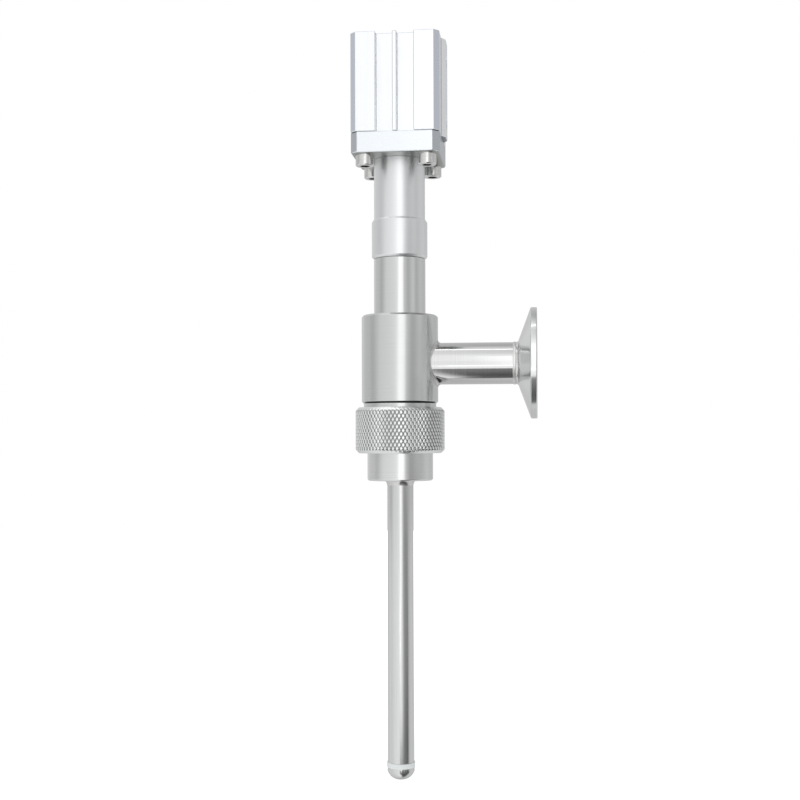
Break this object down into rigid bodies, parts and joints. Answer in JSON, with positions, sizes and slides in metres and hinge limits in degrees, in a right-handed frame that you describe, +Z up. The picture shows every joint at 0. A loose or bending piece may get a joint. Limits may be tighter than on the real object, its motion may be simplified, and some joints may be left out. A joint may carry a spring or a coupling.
{
  "type": "anti-drip filling nozzle",
  "caption": "Anti-drip filling nozzle: air cylinder on a yoke tube drives a stem that opens a plug at the end of a long thin tube, fed by a side clamp inlet.",
  "frame": {"origin": "outlet end of the nozzle tube, on its axis", "axes": "+Z up along the nozzle's axis, +X along the product inlet"},
  "size_m": [0.0831, 0.0506, 0.3368],
  "materials": {
    "tube_steel": "drawn stainless tube, fine lengthwise polish",
    "weld_steel": "cleaned stainless weld",
    "turned_steel": "turned stainless, fine round tool marks",
    "knurled_steel": "diamond knurled stainless",
    "polished_steel": "bright turned stainless",
    "satin_steel": "satin turned stainless",
    "screw_steel": "stainless fastener",
    "spring_steel": "phosphated spring steel",
    "chromed_rod": "hard chromed and ground",
    "plate_aluminium": "fine blasted and clear anodised",
    "barrel_aluminium": "extruded and clear anodised",
    "cover_aluminium": "turned and clear anodised",
    "bush_bronze": "sintered bronze",
    "seal_ptfe": "white PTFE",
    "slip_washer": "natural nylon",
    "seal_rubber": "black nitrile rubber",
    "magnet": "bonded ferrite"
  },
  "bodies": {
    "root": {"nozzle_tube": "tube_steel", "tube_weld": "weld_steel", "nozzle_head": "turned_steel", "head_o_ring": "seal_rubber", "valve_body": "turned_steel", "inlet_pipe": "turned_steel", "inlet_weld": "weld_steel", "inlet_ferrule": "turned_steel", "ferrule_weld": "weld_steel", "seal_housing": "polished_steel", "stem_bush": "seal_ptfe", "packing_rings": "seal_ptfe", "packing_follower": "turned_steel", "gland_nut": "turned_steel", "yoke_tube": "satin_steel", "front_plate": "plate_aluminium", "plate_o_ring": "seal_rubber", "rod_seal": "seal_rubber", "rod_bush": "bush_bronze", "front_bumper": "seal_rubber", "cap_screws": "screw_steel", "cylinder_barrel": "barrel_aluminium", "rear_cover": "cover_aluminium", "rear_o_ring": "seal_rubber", "rear_circlip": "spring_steel", "rear_bumper": "seal_rubber"},
    "stem": {"valve_stem": "polished_steel", "stem_guide_lower": "seal_ptfe", "stem_guide_upper": "seal_ptfe", "seal_ring": "seal_ptfe", "plug_tip": "turned_steel", "rod_lock_nut": "screw_steel", "piston_rod": "chromed_rod", "piston": "cover_aluminium", "piston_seal": "seal_rubber", "wear_ring": "slip_washer", "magnet_ring": "magnet"},
    "glide_ring": {"glide_ring": "slip_washer"},
    "union_nut": {"knurled_nut": "knurled_steel"}
  },
  "joints": [
    {"name": "stem_stroke", "type": "slide", "parent": "root", "child": "stem", "axis": [0, 0, -1], "range_m": [0, 0.01]},
    {"name": "nut_travel", "type": "slide", "parent": "root", "child": "glide_ring", "axis": [0, 0, -1], "range_m": [0, 0.012]},
    {"name": "nut_turn", "type": "hinge", "parent": "glide_ring", "child": "union_nut", "pos_m": [0, 0, 0.1408], "axis": [0, 0, -1], "range_deg": [0, 2160]}
  ],
  "couplings": [
    {"joint": "nut_travel", "follows": "nut_turn", "m_per_rad": 0.00031831}
  ]
}
